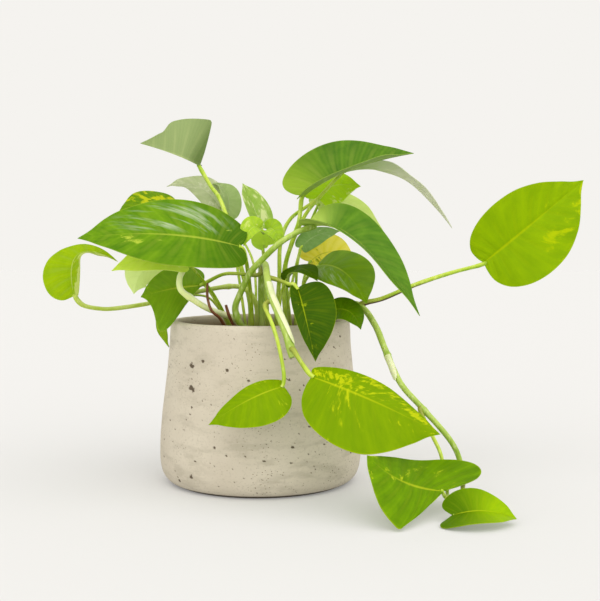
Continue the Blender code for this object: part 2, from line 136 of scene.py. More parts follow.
def newMaterial(name):
    material = bpy.data.materials.new(name)
    material.use_nodes = True
    tree = material.node_tree
    tree.nodes.clear()
    return material, Signal(tree)


def output(signal, shader):
    made = signal.tree.nodes.new("ShaderNodeOutputMaterial")
    signal.tree.links.new(shader.out, made.inputs["Surface"])


bpy.ops.object.camera_add(location=view["place"], rotation=(math.radians(90 - view["tiltDown"]), 0, 0))
camera = bpy.context.object
camera.data.lens = view["lens"]
camera.data.sensor_width = 36.0
bpy.context.scene.camera = camera
bpy.context.scene.view_settings.view_transform = "Standard"

wallColour = tint(*room["wall"])
world = bpy.data.worlds.new("studio")
world.use_nodes = True
bpy.context.scene.world = world
sky = Signal(world.node_tree)
world.node_tree.nodes.clear()
direction = sky.node("ShaderNodeTexCoord")  # Generated is the direction looked in
glow = None
for panel in panels:
    towards = Vector(panel["towards"]).normalized()
    lean = sky.node("ShaderNodeVectorMath", {0: direction, 1: towards}, "Value", operation="DOT_PRODUCT")
    part = lean.step(panel["edge"], panel["core"]) * panel["power"]
    glow = part if glow is None else glow + part
background = sky.node("ShaderNodeBackground", {"Color": wallColour, "Strength": glow + 1.0})
worldOut = world.node_tree.nodes.new("ShaderNodeOutputWorld")
world.node_tree.links.new(background.out, worldOut.inputs["Surface"])

bpy.ops.mesh.primitive_plane_add(size=room["floorSize"])
floor = bpy.context.object
floor.name = "studioFloor"
floorMaterial, s = newMaterial("paperFloor")
dull = s.node("ShaderNodeBsdfDiffuse", {"Color": (room["floorTint"],) * 3 + (1,)})
lit = s.node("ShaderNodeEmission", {"Color": wallColour, "Strength": room["floorGlow"]})
output(s, s.node("ShaderNodeAddShader", {0: dull, 1: lit}))
floor.data.materials.append(floorMaterial)
print("camera, room and light made")


# helpers for meshes
def finishPiece(piece, name, slot, material, *nodes):
    piece.name = name
    piece.data.name = name
    piece.data.materials.clear()
    piece.data.materials.append(material)
    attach(piece, "root")
    if nodes:
        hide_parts(*nodes)
    piece.select_set(False)
    return piece


def onlyActive(piece):
    bpy.ops.object.select_all(action="DESELECT")
    piece.select_set(True)
    bpy.context.view_layer.objects.active = piece


def tidyMesh(piece, merge=0.00002, angle=60):
    onlyActive(piece)
    bpy.ops.object.mode_set(mode="EDIT")
    bpy.ops.mesh.select_all(action="SELECT")
    bpy.ops.mesh.remove_doubles(threshold=merge)
    bpy.ops.mesh.normals_make_consistent(inside=False)
    bpy.ops.object.mode_set(mode="OBJECT")
    bpy.ops.object.shade_smooth_by_angle(angle=math.radians(angle))


def curvePoint(points, share):
    # a point of the smooth curve through the points, at a share of its length
    points = [Vector(p) for p in points]
    points = [2 * points[0] - points[1]] + points + [2 * points[-1] - points[-2]]
    lengths = [(b - a).length for a, b in zip(points[1:-2], points[2:-1])]
    along = share * sum(lengths)
    k = 0
    while k < len(lengths) - 1 and along > lengths[k]:
        along -= lengths[k]
        k += 1
    t = min(max(along / lengths[k], 0.0), 1.0)
    a, b, c, d = points[k:k + 4]
    return 0.5 * (2 * b + (c - a) * t + (2 * a - 5 * b + 4 * c - d) * t * t
                  + (3 * b - a - 3 * c + d) * t * t * t)


# pot
pot = {
    "foot": [(0, 0), (66, 0), (68.6, 0), (69, 0.9)],
    "outer": [(69, 0.9), (71.6, 1.4), (74, 2.8), (76.6, 5.4), (78.8, 9.6), (80.2, 16), (80.7, 25),
              (80.2, 38), (78.7, 56), (76.5, 74), (74.3, 92), (72.6, 110), (71.8, 125.5), (71.2, 128),
              (69.8, 129)],
    "inner": [(66.2, 129), (64.8, 128.2), (64.2, 126), (64.6, 112), (66.8, 80), (68.8, 40), (66, 20),
              (58, 12), (0, 12)],
    "turns": 420, "step": 1.1, "innerStep": 2.2, "flatStep": 9, "wallRadius": 76,
    "waver": 0.16, "grit": 0.05, "rough": (69.5, 0.5),  # only outside this radius and above this height
    "seed": 11, "pores": 300, "poreHeights": (2, 126), "poreSize": (0.5, 1.25), "poreDepth": 0.5,
    "cell": 4.0,  # side of the squares that the pores are sorted into
    # where pores crowd together: direction in degrees, height, spread, number, largest
    "clusters": [(229.5, 81, 1.8, 10, 1.4), (227, 98, 1.8, 6, 1.2), (229, 89, 3, 6, 0.8),
                 (197, 88, 4, 12, 0.8), (300, 30, 16, 26, 0.8), (312, 50, 14, 24, 0.8),
                 (288, 112, 8, 12, 0.8), (60, 70, 20, 30, 1.0), (120, 30, 18, 24, 0.9)],
    # in metres: the inner wall grows darker and browner lower down over the first pair, and the painted
    # contact shadow at the foot fades out over the second
    "innerDarkening": (0.118, 0.1275), "dirt": (0.0016, 0.0030),
}


def evenLine(points, step):
    # straight stretches in even steps
    line = []
    for (r0, z0), (r1, z1) in zip(points, points[1:]):
        pieces = max(1, round(math.hypot(r1 - r0, z1 - z0) / step))
        line += [(r0 + (r1 - r0) * i / pieces, z0 + (z1 - z0) * i / pieces) for i in range(pieces)]
    return line + [points[-1]]


def smoothLine(points, step):
    # the same on a smooth curve
    flat = [(r, 0, z) for r, z in points]
    length = sum(math.hypot(b[0] - a[0], b[1] - a[1]) for a, b in zip(points, points[1:]))
    count = round(length / step)
    found = [curvePoint(flat, i / count) for i in range(count + 1)]
    return [(p.x, p.z) for p in found]


def poreCells():
    # all pores of the wall, sorted into square cells so that a point finds its own quickly
    draw = random.Random(pot["seed"])
    cell = pot["cell"]
    least, most = pot["poreSize"]
    pores = [(draw.uniform(0, 360), draw.uniform(*pot["poreHeights"]),
              least + (most - least) * draw.random() ** 4) for _ in range(pot["pores"])]
    for turn, height, spread, number, largest in pot["clusters"]:
        pores += [(turn + draw.gauss(0, spread * 0.7), height + draw.gauss(0, spread * 0.75),
                   0.4 + (largest - 0.4) * draw.random() ** 2) for _ in range(number)]
    cells = {}
    for turn, height, size in pores:
        along = math.radians(turn % 360) * pot["wallRadius"]
        pore = (along, height, size, draw.uniform(0.9, 1.7))
        cells.setdefault((along // cell, height // cell), []).append(pore)
    return cells


def makePot():
    outline = evenLine(pot["foot"], pot["flatStep"]) + smoothLine(pot["outer"], pot["step"])[1:]
    outline += smoothLine(pot["inner"][:-1], pot["innerStep"])
    outline += evenLine(pot["inner"][-2:], pot["flatStep"])[1:]
    bpy.ops.mesh.primitive_plane_add(size=0.01)
    piece = bpy.context.object
    bpy.ops.object.mode_set(mode="EDIT")
    bpy.ops.mesh.select_all(action="SELECT")
    bpy.ops.mesh.merge(type="CENTER")
    for (r0, z0), (r1, z1) in zip(outline, outline[1:]):
        move = ((r1 - r0) * mm, 0, (z1 - z0) * mm)
        bpy.ops.mesh.extrude_vertices_move(TRANSFORM_OT_translate={"value": move})
    bpy.ops.mesh.select_all(action="SELECT")
    bpy.ops.mesh.spin(steps=pot["turns"], angle=2 * math.pi, center=(0, 0, 0), axis=(0, 0, 1))
    bpy.ops.object.mode_set(mode="OBJECT")
    tidyMesh(piece, angle=70)
    cell, cells = pot["cell"], poreCells()
    leastRadius, leastHeight = pot["rough"]
    # how deep each pore is, kept for the painted shade in the pores
    hollow = piece.data.attributes.new("hollow", "FLOAT", "POINT")
    marks = [0.0] * len(piece.data.vertices)
    for vertex in piece.data.vertices:
        x, y, z = (c / mm for c in vertex.co)
        radius = math.hypot(x, y)
        if radius < leastRadius or z < leastHeight:
            continue
        along = math.atan2(y, x) % (2 * math.pi) * pot["wallRadius"]
        push = pot["waver"] * noise.noise(Vector((x, y, z * 1.6)) * 0.045)
        push += pot["grit"] * noise.noise(Vector((x, y, z * 2.5)) * 0.35)
        deep = 0.0
        for i in (-1, 0, 1):
            for j in (-1, 0, 1):
                for middle, height, size, wide in cells.get((along // cell + i, z // cell + j), []):
                    away = math.hypot((along - middle) / wide, z - height) / size
                    deep = max(deep, min(1.0, 1.6 * (1.25 - away)) * min(1.0, size / 0.9))
        vertex.co += Vector((x, y, 0)) * (push - deep * pot["poreDepth"]) / radius * mm
        marks[vertex.index] = deep
    hollow.data.foreach_set("value", marks)
    return piece


def concreteMaterial():
    material, s = newMaterial("paleConcrete")
    where = s.node("ShaderNodeTexCoord", pick="Object")
    hollow = s.node("ShaderNodeAttribute", pick="Fac", attribute_name="hollow")
    cloud = s.grain(where, 12, 4, 0.6)
    streak = s.grain(where.scaled(1, 1, 3.4), 30, 4, 0.65)
    fine = s.grain(where, 520, 3, 0.7)
    cells = s.node("ShaderNodeTexVoronoi", {"Vector": where.scaled(1, 1, 1.4), "Scale": 380})
    crowd = s.grain(where, 42, 3).step(0.43, 0.60)
    pinholes = cells.step(0.10, 0.22, 1.0, 0.0) * crowd
    base = cloud.step(0.30, 0.70).mix(tint(190, 181, 163), tint(201, 193, 175))
    base = streak.step(0.48, 0.68, 0, 0.7).mix(base, tint(174, 166, 148))
    base = fine.step(0.52, 0.75, 0, 0.5).mix(base, tint(160, 151, 133))
    # painted shade: the pinholes and the pits of the pores are darkened, as shade falls in them
    base = (pinholes * 0.95).mix(base, tint(112, 100, 84))
    base = hollow.step(0.1, 0.65, 0, 0.95).mix(base, tint(84, 72, 58))
    # the inner wall is darker and browner lower down
    _, _, height = where.parts()
    inside = s.node("ShaderNodeVectorMath", {0: where.scaled(1, 1, 0)}, "Value", operation="LENGTH")
    innerDarkening = inside.step(0.0655, 0.0675, 1.0, 0.0) * height.step(*pot["innerDarkening"], 0.95, 0.35)
    base = innerDarkening.mix(base, tint(118, 94, 64))
    # painted shadow: a dark line where the foot meets the table, standing in for the contact shadow there
    base = height.step(*pot["dirt"], 0.9, 0.0).mix(base, tint(58, 48, 38))
    relief = fine * 0.25 + streak * 0.3 - pinholes * 1.0
    bump = s.node("ShaderNodeBump", {"Height": relief, "Strength": 0.3, "Distance": 0.0005})
    shader = s.node("ShaderNodeBsdfPrincipled", {"Base Color": base, "Roughness": 0.8 + fine * 0.12,
                                                 "Normal": bump, "Specular IOR Level": 0.2})
    output(s, shader)
    return material


finishPiece(makePot(), "concretePot", "concrete", concreteMaterial(), "pot")
print("pot made")

# soil
# it stands at "edge" by the wall and rises by "mound" in the middle; "ripple", "lumps" and "grit" are how
# much the surface rises and falls, and how closely
soil = {
    "edge": 116.0, "mound": 4.0, "mounded": 62.0, "reach": 64.0, "deep": 104.0, "rings": 46, "turns": 150,
    "ripple": 0.5, "lumps": (1.5, 0.16), "grit": (1.3, 0.55), "crumbs": 420, "crumbSize": (0.7, 2.3),
    "seed": 5,
}


def soilHeight(x, y):
    share = min(math.hypot(x, y) / soil["mounded"], 1.0)
    ripple = soil["ripple"] * math.sin(0.19 * x + 0.7) * math.cos(0.17 * y - 0.4)
    return soil["edge"] + soil["mound"] * (1.0 - share * share) + ripple * (1.0 - share)


def makeSoil():
    rings, (lumps, lumpScale), (grit, gritScale) = soil["rings"], soil["lumps"], soil["grit"]
    bpy.ops.mesh.primitive_grid_add(x_subdivisions=soil["turns"], y_subdivisions=rings + 2, size=2)
    piece = bpy.context.object
    for vertex in piece.data.vertices:
        # the grid is wrapped round: its first row is the middle of the underside, its last the crown
        turn = math.pi * (vertex.co.x + 1)
        row = round((vertex.co.y + 1) / 2 * (rings + 2))
        radius = 0.0 if row == 0 else soil["reach"] * (1.0 if row == 1 else 1 - (row - 2) / rings)
        x, y = radius * math.cos(turn), radius * math.sin(turn)
        height = soil["deep"]
        if row > 1:
            rough = noise.fractal(Vector((x, y, 3.0)) * lumpScale, 1.0, 2.0, 4) * lumps
            rough += abs(noise.noise(Vector((x, y, 9.0)) * gritScale)) * grit
            height = soilHeight(x, y) - 0.8 + rough * min(1.0, (soil["reach"] - radius) / 5 + 0.3)
        vertex.co = Vector((x, y, height)) * mm
    tidyMesh(piece, angle=75)
    return piece


def makeCrumbs():
    draw = random.Random(soil["seed"])
    least, most = soil["crumbSize"]
    bpy.ops.mesh.primitive_ico_sphere_add(
        subdivisions=2, radius=mm, location=(0, 0, soilHeight(0, 0) * mm))
    piece = bpy.context.object
    bpy.ops.object.mode_set(mode="EDIT")
    for _ in range(soil["crumbs"]):
        reach = (soil["reach"] - 2) * math.sqrt(draw.random())
        turn = draw.uniform(0, 2 * math.pi)
        x, y = reach * math.cos(turn), reach * math.sin(turn)
        size = least + (most - least) * draw.random() ** 2.5
        bpy.ops.mesh.primitive_ico_sphere_add(
            subdivisions=2, radius=size * mm,
            location=(x * mm, y * mm, (soilHeight(x, y) + size * 0.3) * mm),
            rotation=(draw.uniform(0, 3), draw.uniform(0, 3), 0),
            scale=(1, draw.uniform(0.6, 1), draw.uniform(0.5, 0.9)))
    bpy.ops.object.mode_set(mode="OBJECT")
    piece.data.transform(piece.matrix_world)
    piece.matrix_world = Matrix.Identity(4)
    for vertex in piece.data.vertices:
        vertex.co += vertex.normal * noise.noise(vertex.co / mm * 0.9) * 0.6 * mm
    onlyActive(piece)
    bpy.ops.object.shade_smooth_by_angle(angle=math.radians(40))
    return piece


def soilMaterial():
    material, s = newMaterial("pottingSoil")
    where = s.node("ShaderNodeTexCoord", pick="Object")
    coarse = s.grain(where, 160, 4, 0.65)
    fine = s.grain(where, 900, 3, 0.7)
    base = coarse.step(0.35, 0.68).mix(tint(44, 34, 24), tint(96, 76, 54))
    base = fine.step(0.6, 0.75, 0, 0.6).mix(base, tint(140, 116, 84))
    bump = s.node("ShaderNodeBump", {"Height": fine + coarse, "Strength": 0.7, "Distance": 0.001})
    output(s, s.node("ShaderNodeBsdfPrincipled", {"Base Color": base, "Roughness": 0.82 + fine * 0.15,
                                                  "Normal": bump}))
    return material


earth = soilMaterial()
finishPiece(makeSoil(), "soilBed", "soil", earth, "soil")
finishPiece(makeCrumbs(), "soilCrumbs", "soil", earth)
print("soil made")

# leaves
# half outlines of a blade: along the midrib from base to tip, and share of the half width
outlines = {
    "round": [(0, 0), (-0.045, 0.22), (-0.06, 0.48), (0, 0.74), (0.14, 0.93), (0.33, 1), (0.53, 0.93),
              (0.71, 0.70), (0.85, 0.39), (0.935, 0.15), (1, 0)],
    "cornered": [(0, 0), (0.24, 0.42), (0.45, 0.85), (0.52, 1), (0.58, 0.93), (0.70, 0.72), (0.82, 0.46),
                 (0.93, 0.20), (1, 0)],
    "curled": [(0, 0), (-0.03, 0.40), (0.02, 0.78), (0.14, 1), (0.27, 0.98), (0.38, 0.76), (0.50, 0.52),
               (0.68, 0.36), (0.85, 0.20), (1, 0)],
    "fanned": [(0, 0), (0.03, 0.35), (0.08, 0.80), (0.12, 1), (0.22, 0.98), (0.42, 0.86), (0.58, 0.72),
               (0.67, 0.60), (0.73, 0.40), (0.80, 0.30), (0.90, 0.14), (1, 0)],
    "tailed": [(0, 0), (-0.03, 0.30), (0.02, 0.70), (0.14, 0.97), (0.28, 1), (0.42, 0.80), (0.55, 0.54),
               (0.68, 0.35), (0.82, 0.20), (0.93, 0.09), (1, 0)],
}
# a blade of the full length has all of the pucker and wave; "rows" and "columns" are for each mm, the
# least and the most; "waves" are along each margin
blade = {
    "thick": 0.5, "veins": 9, "pucker": 0.30, "groove": 0.4, "grooveWidth": 1.1, "ridge": 0.75, "wave": 0.8,
    "waves": (2.6, 3.1), "fullLength": 90, "rows": (1.1, 54, 132), "columns": (0.4, 12, 28),
    "seedStep": 7.3, "sproutSeed": 3.1,
}

# how a blade is coloured unless it says otherwise: marks and how many, how much more of them at the
# tip, at the margin and on the right half, how narrow they are, veins, midrib, underside, gloss, a
# pale sheen on the right half, the share of light that passes through; "foot" is the colour near the
# base, "reach" how far it goes, and "patch" where marks crowd: along, across, its size both ways, how
# much
plainLook = {
    "mark": (240, 246, 170), "many": 0.3, "tip": 0.0, "edge": 0.0, "side": 0.0, "run": 9, "vein": 0.1,
    "midrib": 0.6, "under": (164, 194, 84), "gloss": 0.15, "sheen": 0.0, "reach": 0.3, "through": 0.3,
}

# for each blade: its midrib from base to tip, where its upper face looks and its cupping, its left half
# (width, fold in degrees, sweep of the lobe, how pointed or which outline), its right half unless it is
# the same, and its look
leaves = {
    "top_left": dict(
        line=[(-53, 55, 256), (-74, 42, 265), (-99, 24, 272)], facing=(0, 0.75, 0.65), cup=0.05,
        left=(37, 42, 0, "fanned"), right=(20, 60, 0.1, 1),
        look=dict(deep=(120, 148, 82), light=(174, 192, 132), mark=(206, 214, 176), foot=(74, 104, 24),
                  reach=0.6, run=14, vein=0.45, under=(168, 188, 124))),
    "back_left_pale": dict(
        line=[(-36, 70, 219), (-58, 86, 240), (-86, 93, 240)], facing=(-0.2, -0.5, 0.85),
        left=(14, 15, 0, 1), right=(13, 15, 0, 1),
        look=dict(deep=(174, 190, 134), light=(210, 216, 178), mark=(226, 228, 206), many=0.5, vein=0.2,
                  under=(204, 212, 172), through=0.45)),
    "back_left_low": dict(
        line=[(-30, 60, 215), (-32, 72, 234), (-45, 84, 242)], facing=(0.6, -0.6, 0.5),
        left=(12, 20, 0, 1),
        look=dict(deep=(150, 178, 104), light=(184, 202, 138), mark=(212, 218, 168), vein=0.2,
                  through=0.45)),
    "left_variegated": dict(
        line=[(-64, -15, 221), (-84, -30, 221), (-107, -42, 213)], facing=(-0.2, -0.5, 0.85),
        left=(20, 10, 0, 1), right=(21, 10, 0, 1),
        look=dict(deep=(88, 134, 0), light=(118, 156, 0), mark=(206, 208, 20), many=0.7, gloss=0.05)),
    "left_big": dict(
        line=[(-13, -52, 188), (-68, -76, 197), (-129, -85, 194)], facing=(-0.05, -0.8, 0.6), cup=-0.05,
        left=(24, -12, -0.04, 1), right=(32, 8, -0.04, 1),
        look=dict(deep=(74, 126, 0), light=(122, 166, 16), mark=(196, 212, 70), foot=(66, 112, 0),
                  reach=0.55, many=0.2, patch=(0.68, -0.45, 0.26, 0.5, 0.19), vein=0.15, gloss=0.08,
                  sheen=0.65)),
    "left_curled": dict(
        line=[(-143.5, -30, 149.5), (-140, -28, 182), (-111, -20, 176)], facing=(-0.2, -0.65, 0.75),
        left=(25, 0, -0.04, "curled"), right=(15, 30, -0.25, 1.3),
        look=dict(deep=(142, 178, 0), light=(164, 194, 0), mark=(204, 216, 120), many=0.2, side=0.3,
                  under=(200, 214, 120), gloss=0.05)),
    "left_lime": dict(
        line=[(-57, -44, 176), (-80, -58, 179), (-108, -66, 170)], facing=(0, -0.75, 0.65),
        left=(14, 5, 0, 1), right=(13, 5, 0, 1),
        look=dict(deep=(214, 240, 70), light=(232, 248, 112), vein=0.12, under=(228, 242, 120),
                  through=0.5)),
    "left_round": dict(
        line=[(-76, -5, 171), (-91, -22, 168), (-97, -30, 151)], facing=(-0.3, 0.8, 0.4),
        left=(17, 10, 0, 1),
        look=dict(deep=(232, 246, 178), light=(240, 250, 200), mark=(246, 250, 214), many=0.2, vein=0.3,
                  under=(236, 248, 186), through=0.6)),
    "left_dark": dict(
        line=[(-46, -14, 157), (-68, -24, 155), (-91, -36, 149)], facing=(0.1, -0.85, 0.5),
        left=(32, -10, -1.1, 1.2), right=(19, 0, 0.05, 1),
        look=dict(deep=(102, 148, 8), light=(130, 170, 22), mark=(200, 212, 60), many=0.12, vein=0.15,
                  midrib=0.8)),
    "left_hanging": dict(
        line=[(-61, 18, 148), (-82, 30, 130), (-78, 36, 103)], facing=(-0.6, -0.6, 0.2),
        left=(10, 0, -0.1, 1), right=(11, 0, -0.1, 1),
        look=dict(deep=(128, 170, 2), light=(152, 186, 14), mark=(200, 212, 80), many=0.25, vein=0.12,
                  gloss=0.06)),
    "centre_upright": dict(
        line=[(0, 36, 203), (-8, 46, 222), (-17, 56, 241)], facing=(0.5, -0.8, 0.2),
        left=(12, 25, 0, 1), right=(13, 25, 0, 1),
        look=dict(deep=(138, 178, 56), light=(176, 202, 96), mark=(226, 232, 172), many=0.6, run=3,
                  vein=0.12, under=(190, 210, 120))),
    "centre_small": dict(
        line=[(2, 6, 187), (3, -4, 198), (2, -24, 201)], facing=(0, -0.3, 0.95),
        left=(12, -20, 0, 1), right=(11, -20, 0, 1),
        look=dict(deep=(208, 236, 70), light=(228, 244, 110), vein=0.12, under=(216, 238, 120),
                  through=0.6)),
    "upper_right": dict(
        line=[(34, -8, 228), (72, -4, 249), (124, 14, 263)], facing=(-0.15, -0.5, 0.87),
        left=(30, 34, 0.12, 1), right=(22, 36, 0, 1),
        look=dict(deep=(58, 110, 2), light=(98, 144, 20), mark=(186, 206, 80), foot=(156, 188, 44),
                  reach=0.58, many=0.1, side=-0.04, vein=0.2, under=(140, 176, 70), sheen=0.3)),
    "upper_back": dict(
        line=[(47, 26, 227), (60, 36, 238), (83, 48, 238)], facing=(0.1, -0.85, 0.5),
        left=(18, 5, 0.1, 1),
        look=dict(deep=(170, 214, 4), light=(194, 226, 40), mark=(222, 232, 140), many=0.25, edge=0.12,
                  vein=0.12, under=(190, 220, 80), gloss=0.05, through=0.4)),
    "right_drooping": dict(
        line=[(68, 20, 249), (117, 38, 245), (162, 60, 203)], facing=(0.4, 0.2, 0.9),
        left=(19, 10, 0, "tailed"),
        look=dict(deep=(206, 212, 180), light=(232, 234, 214), mark=(240, 240, 230), foot=(134, 176, 40),
                  reach=0.72, tip=0.1, under=(226, 230, 206))),
    "right_pale_back": dict(
        line=[(47, 44, 222), (75, 62, 223), (104, 75, 201)], facing=(0.3, -0.6, 0.7),
        left=(15, 5, 0, 1),
        look=dict(deep=(190, 216, 100), light=(212, 228, 132), mark=(222, 232, 170), vein=0.15,
                  under=(206, 224, 140))),
    "right_arching": dict(
        line=[(42, -42, 204), (76, -62, 191), (120, -74, 137)], facing=(0.2, -0.45, 0.85),
        left=(24, 28, 0.06, 1), right=(22, 28, 0, 1),
        look=dict(deep=(66, 118, 8), light=(104, 150, 28), mark=(176, 200, 70), foot=(196, 220, 100),
                  reach=0.5, many=0.08, vein=0.15, midrib=0.8, sheen=0.25)),
    "right_round": dict(
        line=[(46, -12, 173), (66, -36, 168), (82, -56, 145)], facing=(0.2, -0.75, 0.6), cup=-0.05,
        left=(27, 0, 0, 1), right=(20, 0, 0, 1),
        look=dict(deep=(96, 140, 0), light=(126, 164, 2), mark=(190, 206, 60), many=0.12, gloss=0.16,
                  sheen=0.4)),
    "centre_grey": dict(
        line=[(33, 2, 187), (46, 4, 197), (64, 8, 200)], facing=(-0.2, -0.6, 0.8),
        left=(12, 0, 0, 1),
        look=dict(deep=(104, 150, 60), light=(140, 176, 96), mark=(184, 204, 140), many=0.2, vein=0.2,
                  gloss=0.25)),
    "old_yellow": dict(
        line=[(40, 22, 175), (57, 30, 183), (77, 36, 178)], facing=(0, -0.9, 0.4),
        left=(18, 5, 0, 1), right=(14, 5, 0, 1),
        look=dict(deep=(232, 224, 50), light=(244, 238, 120), mark=(120, 150, 10), many=0.35, side=0.1,
                  under=(236, 226, 120), through=0.4)),
    "centre_crescent": dict(
        line=[(21, -30, 162), (33, -40, 171), (45, -56, 162)], facing=(0.2, -0.5, 0.85),
        left=(13, 0, 0, 1),
        look=dict(deep=(54, 88, 0), light=(72, 104, 0), mark=(150, 180, 30), many=0.12, vein=0.12,
                  gloss=0.02)),
    "front_hanging": dict(
        line=[(30, -64, 157), (36, -82, 135), (43, -90, 105)], facing=(0, -0.95, 0.3),
        left=(24, 5, -0.04, 1), right=(8, 20, -0.04, 1),
        look=dict(deep=(48, 86, 0), light=(68, 104, 0), mark=(190, 206, 20), many=0.08, tip=0.12,
                  gloss=0.06)),
    "rim_right": dict(
        line=[(57, -34, 139), (70, -44, 138), (78, -50, 125)], facing=(0.4, -0.8, 0.4),
        left=(12, 0, 0, 1),
        look=dict(deep=(74, 116, 0), light=(96, 136, 0), mark=(180, 200, 40), many=0.12, vein=0.12,
                  gloss=0.06)),
    "far_right": dict(
        line=[(177, -12, 175), (213, -16, 205), (255, -12, 240)], facing=(0, -1, 0.05),
        left=(31, 6, -0.12, 1), right=(39, 6, -0.12, 1),
        look=dict(deep=(130, 168, 0), light=(154, 188, 0), mark=(190, 206, 0), many=0.12, tip=0.06,
                  edge=0.05, side=0.05, vein=0.14, gloss=0.05)),
    "front_big": dict(
        line=[(40, -104, 96), (82, -116, 81), (130, -118, 57)], facing=(0, -0.75, 0.65),
        left=(19, -12, -0.1, 1), right=(41, -12, -0.18, 1),
        look=dict(deep=(116, 154, 0), light=(136, 170, 0), mark=(206, 214, 20), many=0.34, tip=0.08,
                  side=-0.03, run=18, vein=0.08, gloss=0.04)),
    "front_small": dict(
        line=[(20, -97, 88), (-4, -106, 80), (-33, -108, 62)], facing=(0, -0.75, 0.65),
        left=(23, -12, -0.06, 1), right=(12, -12, -0.06, 1),
        look=dict(deep=(118, 156, 0), light=(140, 174, 0), mark=(206, 216, 40), many=0.34, side=0.03,
                  run=16, vein=0.08, gloss=0.04)),
    "floor_large": dict(
        line=[(132, -122, 18), (102, -131, 27), (77.5, -139, 46.5)], facing=(0, -0.66, 0.75),
        left=(41.5, 4, 0, "cornered"), right=(34, -11, 1.1, 1.1),
        look=dict(deep=(88, 132, 0), light=(122, 166, 0), mark=(206, 216, 40), many=0.2, tip=0.06,
                  gloss=0.05)),
    "floor_small": dict(
        line=[(135.5, -143, 6.3), (157, -147, 10.1), (179, -143, 3.6)], facing=(0, -0.4, 0.9),
        left=(17.5, 25, 0.2, 1), right=(19.5, 11, 0.24, 1),
        look=dict(deep=(144, 186, 0), light=(166, 200, 0), mark=(210, 220, 40), foot=(74, 118, 0),
                  reach=0.8, many=0.1, gloss=0.05)),
}

# small young blades folded in the crown
sprouts = {
    "sprout_left": dict(
        line=[(1, -32, 202), (-6, -40, 201), (-11, -45, 188)], facing=(0.1, -0.85, 0.5),
        left=(8, 20, 0, 1), right=(9, 20, 0, 1),
        look=dict(deep=(150, 194, 10), light=(196, 224, 60), mark=(226, 234, 140), many=0.4, run=3,
                  vein=0.2)),
    "sprout_right": dict(
        line=[(6, -32, 201), (12, -40, 200), (18, -45, 187)], facing=(-0.1, -0.85, 0.5),
        left=(8, 20, 0, 1),
        look=dict(deep=(130, 176, 4), light=(176, 210, 40), mark=(220, 230, 130), run=3, vein=0.2)),
}


def bladePoint(shape, share, c):
    # where a point of the blade's middle layer is, its upward direction, and its distance from the midrib
    base, middle, tip = (Vector(point) for point in shape["line"])
    facing = Vector(shape["facing"])
    half, fold, sweep, kind = shape.get("right", shape["left"]) if c > 0 else shape["left"]
    u = abs(c)
    line, power = (outlines[kind], 1) if isinstance(kind, str) else (outlines["round"], kind)
    edge = curvePoint([(s, w, 0) for s, w in line], share)
    width = max(edge.y, 0.0) ** power
    root = share ** 1.7
    s = root + (edge.x - sweep * width * (1 - share) - root) * u ** 1.2
    control = 2 * middle - 0.5 * (base + tip)
    t = max(s, 0.0)
    ahead = 2 * (1 - t) * (control - base) + 2 * t * (tip - control)
    point = (1 - t) ** 2 * base + 2 * t * (1 - t) * control + t * t * tip
    if s < 0:
        point = point + ahead * s
    ahead.normalize()
    up = (facing - ahead * facing.dot(ahead)).normalized()
    reach = width * u
    turn = math.radians(fold)
    across = half * reach * math.cos(turn) * (1 if c > 0 else -1)
    lift = half * reach * (math.sin(turn) + shape.get("cup", 0) * reach)
    return point + ahead.cross(up) * across + up * lift, up, half * reach


def makeBlade(name, shape):
    draw = random.Random(name)
    base, middle, tip = (Vector(point) for point in shape["line"])
    length = (middle - base).length + (tip - middle).length
    wide = shape["left"][0] + shape.get("right", shape["left"])[0]
    (perRow, fewest, most), (perColumn, least, greatest) = blade["rows"], blade["columns"]
    rows = int(min(max(length * perRow, fewest), most))
    columns = 2 * int(min(max(wide * perColumn, least), greatest))
    bpy.ops.mesh.primitive_grid_add(x_subdivisions=columns, y_subdivisions=rows, size=2)
    piece = bpy.context.object
    place = piece.data.attributes.new("place", "FLOAT_VECTOR", "POINT")
    size = min(1.0, length / blade["fullLength"])
    phase = [draw.uniform(0, 6.28), draw.uniform(0, 6.28)]
    placed = []
    for vertex in piece.data.vertices:
        c, share = vertex.co.x, (vertex.co.y + 1) / 2
        point, up, away = bladePoint(shape, share, c)
        u = abs(c)
        ends = min(1.0, share * 8, (1 - share) * 6)
        # the blade bulges between its side veins, sinks at the midrib and waves at the margin
        bulge = abs(math.sin(math.pi * blade["veins"] * share)) ** 0.7
        lift = blade["pucker"] * bulge * min(1.0, u * 5) * (1 - u ** 3) * ends * size
        groove = math.exp(-(away / blade["grooveWidth"]) ** 2) * (1 - share) ** 0.5
        lift -= blade["groove"] * groove * min(1.0, share * 12)
        side = 1 if c > 0 else 0
        wave = math.sin(2 * math.pi * blade["waves"][side] * share + phase[side])
        lift += blade["wave"] * size * ends * u ** 3 * wave
        vertex.co = (point + up * lift) * mm
        placed += [c, share, 0.0]
    place.data.foreach_set("vector", placed)
    onlyActive(piece)
    bpy.ops.object.mode_set(mode="EDIT")
    bpy.ops.mesh.select_all(action="SELECT")
    bpy.ops.mesh.remove_doubles(threshold=0.00001)
    bpy.ops.object.mode_set(mode="OBJECT")
    count = len(piece.data.vertices)
    shell = piece.modifiers.new("shell", "SOLIDIFY")
    shell.thickness = blade["thick"] * mm
    shell.offset = 0
    bpy.ops.object.modifier_apply(modifier="shell")
    # the second half of the vertices is the underside, where the midrib stands proud
    marks = piece.data.attributes["place"].data
    for vertex in piece.data.vertices[count:]:
        c, share, _ = marks[vertex.index].vector
        marks[vertex.index].vector = (c, share, 1.0)
        _, up, away = bladePoint(shape, share, c)
        proud = blade["ridge"] * (0.35 + 0.65 * size) * math.exp(-away ** 2) * (1 - share) ** 0.7
        vertex.co -= up * proud * mm
    bpy.ops.object.shade_smooth_by_angle(angle=math.radians(65))
    return piece


